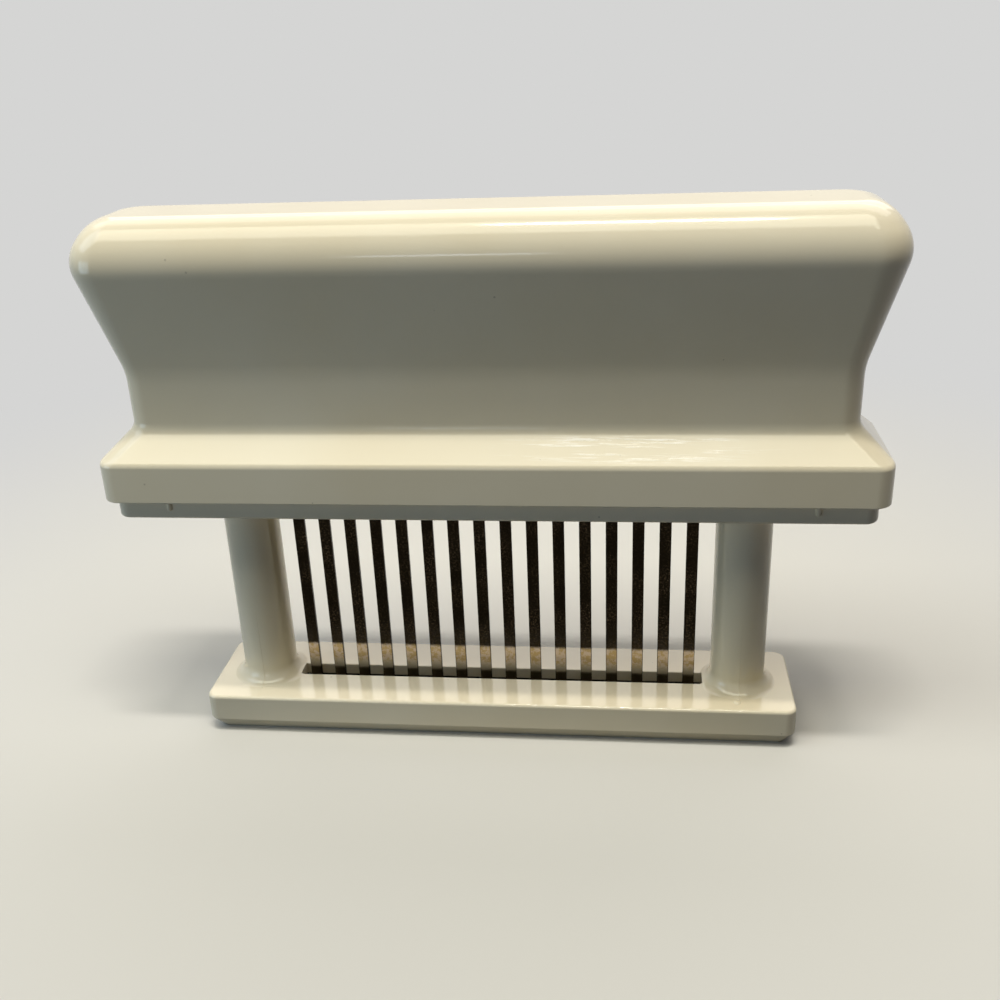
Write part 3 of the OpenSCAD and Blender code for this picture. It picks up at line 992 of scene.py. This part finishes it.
@dataclass
class CoverPlate:
    """The plate that closes the flange, guides the columns and lets the blades through.

    rib_tip gives the rounded lower end of a lifting rib, as shares of its radius and heights.
    """

    slab_thickness: float = 3.8
    length: float = 137.0
    depth: float = 22.0
    corner: float = 2.5
    rim_wall: float = 1.6
    rim_chamfer: float = 0.2
    lower_edge_radius: float = 0.7
    lower_edge_steps: int = 5
    barb_length: float = 6.0
    barb_depth: float = 0.6
    barb_height: float = 1.2
    barb_gap: float = 0.1
    barb_x: float = 58.0
    rib_radius: float = 0.6
    rib_length: float = 2.1
    rib_gap: float = 0.05
    rib_tip: tuple = ((0.4, 0.0), (0.8, 0.12), (1.0, 0.35))
    slide_gap: float = 0.08
    blade_gap: float = 0.2
    hole_chamfer: float = 0.3
    corner_steps: int = 10

    def __post_init__(self) -> None:
        """Reads the heights that the solid sets."""
        low, high = node_box("cover_plate")
        self.bottom, self.rim_top = low[2], high[2]
        self.slab_top = self.bottom + self.slab_thickness

    def outside(self) -> Object:
        """Lofts the slab and its rim in one, with a rounded lower edge.

        Returns:
            The solid before its holes are cut.
        """
        r, chamfer = self.lower_edge_radius, self.rim_chamfer
        outline = [
            *rounded_corner(
                (r * 2, self.bottom), (0, self.bottom), (0, self.rim_top), r, self.lower_edge_steps,
            ),
            (0, self.rim_top - chamfer), (chamfer, self.rim_top),
        ]
        return loft("cover_slab", [
            plan_ring(
                self.length - 2 * setback, self.depth - 2 * setback, self.corner - setback,
                z, self.corner_steps,
            )
            for setback, z in outline
        ])

    def barb(self, x: float, back: int) -> Object:
        """One snap barb, with a sloping face that lets it slip into its recess.

        Args:
            x: the X of its middle.
            back: 1 for the back of the plate and -1 for the front.

        Returns:
            The tool solid.
        """
        top = self.rim_top - self.barb_gap
        bottom = top - self.barb_height
        face = self.depth / 2
        root = face - self.rim_wall / 2
        outline = [(root, top), (face, top), (face + self.barb_depth, bottom), (root, bottom)]
        return loft("snap barb", [
            np.array([(x + share * self.barb_length / 2, back * y, z) for y, z in outline])
            for share in (back, -back)
        ])

    def barbs_and_ribs(self) -> list:
        """The snap barbs on the rim and the small half-round lifting ribs below them.

        Returns:
            The tool solids.
        """
        tools = []
        low, high = self.slab_top - self.rib_length, self.slab_top - self.rib_gap
        r = self.rib_radius
        rib = [*((r * share, low + rise) for share, rise in self.rib_tip), (r, high)]
        for side in Side:
            x = side.value * self.barb_x
            for back in FRONT_AND_BACK:
                tools.append(self.barb(x, back))
                tools.append(turned("lifting rib", rib, x, back * (self.depth / 2 - r / 3), sides=32))
        return tools

    def holes(self, column_x: float, column_radius: float, blades: "BladeRow") -> list:
        """The rim's hollow, the two column holes and the slot of each blade.

        Args:
            column_x: the distance of a column's axis from the middle.
            column_radius: the radius of a column.
            blades: the row of blades.

        Returns:
            The tool solids.
        """
        radius, chamfer = column_radius + self.slide_gap, self.hole_chamfer
        below, above = self.bottom - OVERLAP, self.slab_top + OVERLAP
        hole = [
            (radius + chamfer, below), (radius + chamfer, self.bottom),
            (radius, self.bottom + chamfer), (radius, above),
        ]
        slot_length = blades.width + 2 * self.blade_gap
        slot_depth = blades.thickness + 2 * self.blade_gap
        return [
            block(
                "rim hollow", self.length - 2 * self.rim_wall, self.depth - 2 * self.rim_wall,
                self.slab_top, self.rim_top + OVERLAP,
            ),
            *(turned("column hole", hole, side.value * column_x) for side in Side),
            *(block("blade slot", slot_length, slot_depth, below, above, x) for x in blades.places),
        ]

    def build(self, finish: Material, base: "PressPlate", blades: "BladeRow") -> None:
        """Builds the plate and puts it in place of its node.

        Args:
            finish: the material.
            base: the press plate with the columns that slide in it.
            blades: the row of blades that pass through it.
        """
        plate = self.outside()
        carve(plate, self.barbs_and_ribs(), Carving.JOIN)
        carve(plate, self.holes(base.column_x, base.column_radius, blades), Carving.TAKE_AWAY)
        put_in_place(plate, finish, Body.HANDLE, "cover_plate")


# ---- Blades ----


@dataclass
class BladeRow:
    """The row of blades: T-headed strips with softened edges and ground, slanting tips."""

    count: int = 16
    width: float = 2.2
    head_width: float = 3.6
    head_height: float = 2.0
    tip_slant: float = 1.8
    ground_height: float = 2.4
    edge_left: float = 0.12
    softening: float = 0.09
    sharp_from: float = 25.0

    def __post_init__(self) -> None:
        """Reads the places, thickness and heights that the solids set."""
        boxes = [node_box(self.node(i)) for i in range(self.count)]
        self.places = [(low[0] + high[0]) / 2 for low, high in boxes]
        low, high = boxes[0]
        self.tip, self.head_top = low[2], high[2]
        self.thickness = high[1] - low[1]

    def node(self, index: int) -> str:
        """The name of a blade's node."""
        return f"blade_{index + 1:02d}"

    def section(
        self, x: float, width: float, thickness: float, bottom: float, slant: float = 0.0,
    ) -> np.ndarray:
        """One ring of a blade: a rectangle with softened corners, lifted on one side by the slant.

        Args:
            x: the X of the blade's middle.
            width: the size along X.
            thickness: the size along Y.
            bottom: the height of the ring's lowest side.
            slant: how much higher the -X side of the ring is.

        Returns:
            The ring's eight points, anticlockwise.
        """
        soft = min(self.softening, thickness / 3)
        w, t = width / 2, thickness / 2
        outline = [
            (w, -t + soft), (w, t - soft), (w - soft, t), (-w + soft, t),
            (-w, t - soft), (-w, -t + soft), (-w + soft, -t), (w - soft, -t),
        ]
        return np.array([(x + px, py, bottom + slant * (0.5 - px / width)) for px, py in outline])

    def blade(self, index: int) -> Object:
        """Builds one blade from its tip to its head.

        Args:
            index: its number along the row, from 0.

        Returns:
            The blade.
        """
        x, soft, full = self.places[index], self.softening, self.thickness
        head_bottom = self.head_top - self.head_height
        return loft(f"blade_strip_{index + 1:02d}", [
            self.section(x, self.width, self.edge_left, self.tip, self.tip_slant),
            self.section(x, self.width, full, self.tip + self.ground_height, self.tip_slant),
            self.section(x, self.width, full, head_bottom),
            self.section(x, self.head_width - 2 * soft, full, head_bottom),
            self.section(x, self.head_width, full, head_bottom + soft),
            self.section(x, self.head_width, full, self.head_top - soft),
            self.section(x, self.head_width - 2 * soft, full - soft, self.head_top),
        ])

    def build(self, finish: Material) -> None:
        """Builds every blade and puts it in place of its node.

        Args:
            finish: the material.
        """
        for index in range(self.count):
            put_in_place(
                self.blade(index), finish, Body.HANDLE, self.node(index),
                self.sharp_from,
            )


# ---- Press plate, springs and clips ----


@dataclass
class PressPlate:
    """The foot plate with its bevelled underside, its blade slot and its two hollow columns.

    gate_rise gives the pip's shape above the plate, as shares of its radius and of its height.
    """

    height: float = 8.05
    corner: float = 2.2
    corner_loss: float = 0.55
    bevel_setback: float = 2.0
    bevel_height: float = 2.8
    bevel_edge_radius: float = 0.35
    top_edge_radius: float = 0.6
    column_x: float = 46.85
    column_radius: float = 5.2
    bore_radius: float = 3.5
    bore_floor: float = 5.0
    flare_radius: float = 2.7
    flare_sink: float = 0.05
    groove_depth: float = 0.9
    groove_gap: float = 0.05
    column_chamfer: float = 0.4
    slot_length: float = 80.4
    slot_width: float = 3.9
    slot_chamfer: float = 0.12
    seam_width: float = 0.3
    seam_height: float = 0.065
    seam_top: float = 24.0
    seam_root: float = 0.3
    seam_crest_share: float = 0.35
    seam_end_share: float = 0.15
    gate_radius: float = 0.75
    gate_height: float = 0.3
    gate_rise: tuple = ((0.8, 0.6), (0.35, 1.0))
    gate_shift: tuple = (-0.5, -0.2)
    corner_steps: int = 10
    arc_steps: int = 8
    bevel_edge_steps: int = 4
    top_edge_steps: int = 7

    def __post_init__(self) -> None:
        """Reads the sizes that the solids set."""
        low, high = node_box("press_plate")
        self.length, self.depth = high[0] - low[0], high[1] - low[1]
        self.column_top = high[2]
        clip_low, clip_high = node_box("right_stop_clip")
        self.groove_bottom, self.groove_top = clip_low[2], clip_high[2] + self.groove_gap

    def slab(self) -> Object:
        """Lofts the plate with a bevel below and a rounded edge above.

        Returns:
            The plate without its columns.
        """
        inside, bevel_foot = (self.bevel_setback * 2, 0), (self.bevel_setback, 0)
        bevel_top, top_edge = (0, self.bevel_height), (0, self.height)
        middle = (self.depth / 2, self.height)
        r, steps = self.bevel_edge_radius, self.bevel_edge_steps
        profile = [
            *rounded_corner(inside, bevel_foot, bevel_top, r, steps),
            *rounded_corner(bevel_foot, bevel_top, top_edge, r, steps),
            *rounded_corner(bevel_top, top_edge, middle, self.top_edge_radius, self.top_edge_steps),
        ]
        return loft("press_foot", [
            plan_ring(
                self.length - 2 * setback, self.depth - 2 * setback,
                self.corner - self.corner_loss * setback, z, self.corner_steps,
            )
            for setback, z in profile
        ])

    def flare(self) -> list:
        """The outline of the flare where a column meets the plate.

        Returns:
            (radius, height) pairs from the plate up to the column.
        """
        turns = [math.pi / 2 * k / self.arc_steps for k in range(self.arc_steps + 1)]
        return [
            (
                self.column_radius + self.flare_radius * (1 - math.sin(turn)),
                self.height - self.flare_sink + self.flare_radius * (1 - math.cos(turn)),
            )
            for turn in turns
        ]

    def column(self, side: Side) -> Object:
        """Turns a column with its flare and clip groove.

        Args:
            side: which column.

        Returns:
            The tool solid.
        """
        r, flare = self.column_radius, self.flare()
        groove = r - self.groove_depth
        return turned(
            f"column {side.name.lower()}",
            [
                (flare[0][0], self.height - OVERLAP), *flare,
                (r, self.groove_bottom), (groove, self.groove_bottom),
                (groove, self.groove_top), (r, self.groove_top),
                (r, self.column_top - self.column_chamfer),
                (r - self.column_chamfer, self.column_top),
            ],
            side.value * self.column_x,
        )

    def seam(self, side: Side) -> Object:
        """The fine line of flash that the mould leaves down a column's front and over the plate.

        Args:
            side: which column.

        Returns:
            The tool solid, a low ridge that follows the flare.
        """
        path = np.array([
            (-self.column_radius, self.seam_top),
            *((-radius, z) for radius, z in reversed(self.flare())),
            (-self.depth / 2 + self.top_edge_radius, self.height),
        ])
        x, last = side.value * self.column_x, len(path) - 1
        root_half = self.seam_width / 2
        crest_half = root_half * self.seam_crest_share
        rings = []
        for i, point in enumerate(path):
            before, after = path[max(i - 1, 0)], path[min(i + 1, last)]
            along = (after - before) / np.linalg.norm(after - before)
            out = np.array([along[1], -along[0]])
            height = self.seam_height * (self.seam_end_share if i in (0, last) else 1.0)
            crest, root = point + out * height, point - out * self.seam_root
            rings.append(np.array([
                (x - root_half, *root), (x + root_half, *root),
                (x + crest_half, *crest), (x - crest_half, *crest),
            ]))
        return loft("seam", rings)

    def gate_mark(self, side: Side) -> Object:
        """The small pip where the plastic entered the mould, on the plate in front of a column.

        Args:
            side: which column.

        Returns:
            The tool solid.
        """
        r, h = self.gate_radius, self.gate_height
        pip = [
            (r, self.height - h), (r, self.height),
            *((r * share, self.height + h * rise) for share, rise in self.gate_rise),
        ]
        x = side.value * self.column_x + self.gate_shift[0]
        y = -self.column_radius - self.flare_radius + self.gate_shift[1]
        return turned("gate mark", pip, x, y, sides=24)

    def slot(self) -> list:
        """The blade slot, cut down through the plate and the flares, with a fine edge break.

        Returns:
            The tool solids.
        """
        c = self.slot_chamfer

        def level(grow: float, z: float) -> np.ndarray:
            """One outline of the edge break."""
            length, width = self.slot_length / 2, self.slot_width / 2 + grow
            return np.array([(sx * length, sy * width, z) for sx, sy in CORNERS])

        return [
            block("slot", self.slot_length, self.slot_width, -OVERLAP, self.height + self.flare_radius),
            loft("slot edge", [level(-c, self.height - 2 * c), level(c, self.height)]),
            loft("slot edge below", [level(c, 0), level(-c, 2 * c)]),
        ]

    def build(self, finish: Material) -> None:
        """Builds the moulding and puts it in place of its node.

        Args:
            finish: the material.
        """
        plate = self.slab()
        carve(plate, [self.column(side) for side in Side], Carving.JOIN)
        carve(plate, [self.seam(side) for side in Side] + [self.gate_mark(Side.RIGHT)], Carving.JOIN)
        r, chamfer, top = self.bore_radius, self.column_chamfer, self.column_top
        bore = [(r, self.bore_floor), (r, top - chamfer), (r + 2 * chamfer, top + chamfer)]
        bores = [turned("bore", bore, side.value * self.column_x) for side in Side]
        carve(plate, bores + self.slot(), Carving.TAKE_AWAY)
        put_in_place(plate, finish, Body.BASE, "press_plate")


@dataclass
class ReturnSprings:
    """The two compression springs in the columns, with closed and ground ends."""

    wire: float = 0.8
    curls: int = 34
    closed_curls: float = 1.0
    closed_rise_share: float = 0.9
    ground_off: float = 0.02
    travel: float = 35.5
    rings_per_curl: int = 24
    wire_sides: int = 10
    sharp_from: float = 60.0

    def node(self, side: Side) -> str:
        """The name of a spring's node."""
        return f"{side.name.lower()}_spring"

    def height_at(self, turns: float, length: float) -> float:
        """The height of the wire's middle above the spring's foot after some turns.

        Args:
            turns: turns from the foot.
            length: the spring's whole length.

        Returns:
            The height in millimetres.
        """
        closed_rise = self.wire * self.closed_rise_share
        start = self.wire / 2
        if turns <= self.closed_curls:
            return start + closed_rise * turns / self.closed_curls
        if turns >= self.curls - self.closed_curls:
            return length - start - closed_rise * (self.curls - turns) / self.closed_curls
        share = (turns - self.closed_curls) / (self.curls - 2 * self.closed_curls)
        return start + closed_rise + share * (length - 2 * start - 2 * closed_rise)

    def spring(self, side: Side) -> Object:
        """Winds one spring.

        Args:
            side: which column it stands in.

        Returns:
            The spring.
        """
        low, high = node_box(self.node(side))
        x, foot, length = (low[0] + high[0]) / 2, low[2], high[2] - low[2]
        radius = (high[0] - low[0] - self.wire) / 2
        up = np.array([0, 0, 1])
        rings = []
        for step in range(self.curls * self.rings_per_curl + 1):
            turns = step / self.rings_per_curl
            angle = 2 * math.pi * turns
            out = np.array([math.cos(angle), math.sin(angle), 0])
            middle = np.array([x, 0, foot + self.height_at(turns, length)]) + radius * out
            ring = []
            for k in range(self.wire_sides):
                turn = 2 * math.pi * k / self.wire_sides
                ring.append(middle + self.wire / 2 * (out * math.cos(turn) + up * math.sin(turn)))
            ring = np.array(ring)
            ring[:, 2] = np.clip(ring[:, 2], foot + self.ground_off, high[2] - self.ground_off)
            rings.append(ring)
        return loft(f"coil_{side.name.lower()}", rings)

    def build(self, finish: Material) -> None:
        """Builds both springs, puts them in place of their nodes and gives each a mesh of its own.

        Args:
            finish: the material.
        """
        for side in Side:
            coil = self.spring(side)
            put_in_place(coil, finish, Body.BASE, self.node(side), self.sharp_from)
            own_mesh(coil)


def dress_kept_nodes(acetal: Material, spring_steel: Material) -> None:
    """Gives the inner pieces whose CAD shape is kept their materials.

    Args:
        acetal: the material of the blade holder and its clamp bar.
        spring_steel: the material of the stop clips.
    """
    kept = {
        "blade_holder": acetal, "blade_clamp_bar": acetal,
        "left_stop_clip": spring_steel, "right_stop_clip": spring_steel,
    }
    for name, material in kept.items():
        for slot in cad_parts[name].material_slots:
            slot.material = material
        log.info("%s: CAD node, dressed in %s", name, material.name)


# ---- Studio ----


@dataclass(frozen=True)
class Lamp:
    """One soft rectangular lamp."""

    name: str
    place: tuple
    aim: tuple
    size: tuple
    power: float
    colour: str

    def build(self) -> None:
        """Hangs the lamp and turns it to its aim."""
        data = bpy.data.lights.new(self.name, "AREA")
        data.shape = "RECTANGLE"
        data.size, data.size_y = in_metres(self.size)
        data.energy = self.power
        data.color = linear(self.colour)[:3]
        lamp = bpy.data.objects.new(self.name, data)
        lamp.location = Vector(self.place) * MM
        direction = Vector(self.aim) - Vector(self.place)
        lamp.rotation_mode = "QUATERNION"
        lamp.rotation_quaternion = direction.to_track_quat("-Z", "Y")
        bpy.context.scene.collection.objects.link(lamp)


@dataclass
class Studio:
    """A pale floor, soft lamps, a dim even surround and the camera at the photograph's place."""

    floor_size: float = 6000.0
    camera_place: tuple = (25.36, -189.79, 129.54)
    camera_yaw: float = -7.11
    camera_pitch: float = 23.57
    camera_roll: float = 2.43
    camera_lens: float = 40.12
    camera_sensor: float = 36.0
    camera_sees: tuple = (10.0, 20000.0)
    surround: str = "#E6ECEC"
    surround_strength: float = 0.02
    lamps: tuple = (
        Lamp("front ceiling panel", (-95, -215, 887), (-95, 0, 60), (1000, 420), 4.75, "#FFFAE4"),
        Lamp("ceiling tube", (30, -121, 900), (30, 0, 60), (230, 44), 2.7, "#FFF9EF"),
        Lamp("back panel", (-40, 480, 800), (-40, 0, 60), (1500, 480), 2.9, "#FFFAF8"),
        Lamp("back reflector", (25, 900, 640), (25, 0, 60), (1300, 500), 2.6, "#FFFAF4"),
        Lamp("left panel", (-700, -100, 700), (0, 0, 50), (500, 500), 1.6, "#DCEDFF"),
        Lamp("near left fill", (-320, -190, 75), (0, 0, 65), (200, 150), 0.22, "#CCEAFF"),
        Lamp("far window", (-247, -1500, 447), (0, 0, 60), (285, 90), 0.36, "#E2EEFF"),
    )

    def lay_floor(self, paint: PaintedFloor) -> None:
        """Lays the floor under the tool.

        Args:
            paint: the floor's finish.
        """
        half = self.floor_size / 2
        points = np.array([(sx * half, sy * half, 0) for sx, sy in CORNERS])
        floor = make_object("floor", points, [(0, 1, 2, 3)])
        floor.data.materials.append(paint.material())

    def light_surround(self, backdrop: str) -> None:
        """Makes the even surround: dim to diffuse rays, and pale to the camera and in reflections.

        Args:
            backdrop: the colour that the camera and the reflections show.
        """
        world = bpy.data.worlds.new("surround")
        bpy.context.scene.world = world
        world.use_nodes = True
        tree = world.node_tree
        tree.nodes.clear()
        dim = add(tree, "Background", {
            "Color": linear(self.surround), "Strength": self.surround_strength,
        })
        pale = add(tree, "Background", {"Color": linear(backdrop), "Strength": 1.0})
        mixed = add(tree, "MixShader", (seen_sharply(tree), dim, pale))
        add(tree, "OutputWorld", {"Surface": mixed})

    def place_camera(self) -> None:
        """Puts the camera where the photograph was taken from."""
        yaw, pitch, roll = (
            math.radians(a) for a in (self.camera_yaw, self.camera_pitch, self.camera_roll)
        )
        ahead = Vector((
            math.sin(yaw) * math.cos(pitch), math.cos(yaw) * math.cos(pitch), -math.sin(pitch),
        ))
        level_right = Vector((math.cos(yaw), -math.sin(yaw), 0))
        level_down = ahead.cross(level_right)
        right = math.cos(roll) * level_right + math.sin(roll) * level_down
        down = -math.sin(roll) * level_right + math.cos(roll) * level_down
        data = bpy.data.cameras.new("camera")
        data.lens = self.camera_lens
        data.sensor_width = self.camera_sensor
        data.clip_start, data.clip_end = in_metres(self.camera_sees)
        camera = bpy.data.objects.new("camera", data)
        turn = Matrix((right, -down, -ahead)).transposed().to_4x4()
        camera.matrix_world = Matrix.Translation(Vector(self.camera_place) * MM) @ turn
        bpy.context.scene.collection.objects.link(camera)
        bpy.context.scene.camera = camera

    def build(self) -> None:
        """Sets up everything round the tool."""
        bpy.context.scene.view_settings.view_transform = "Standard"
        paint = PaintedFloor()
        self.place_camera()
        self.lay_floor(paint)
        self.light_surround(paint.backdrop)
        for lamp in self.lamps:
            lamp.build()


def main() -> None:
    """Builds the studio and then every piece of the tool."""
    logging.basicConfig(level=logging.INFO, format="%(name)s: %(message)s")
    Studio().build()
    abs_plastic = MouldedABS().material()
    acetal = MouldedAcetal().material()
    blade_steel = RolledBladeSteel().material()
    spring_steel = DrawnSpringSteel().material()
    base, cover, blades = PressPlate(), CoverPlate(), BladeRow()
    HandleHousing().build(abs_plastic, cover, base)
    cover.build(abs_plastic, base, blades)
    blades.build(blade_steel)
    base.build(abs_plastic)
    ReturnSprings().build(spring_steel)
    dress_kept_nodes(acetal, spring_steel)


if __name__ == "__main__":
    main()
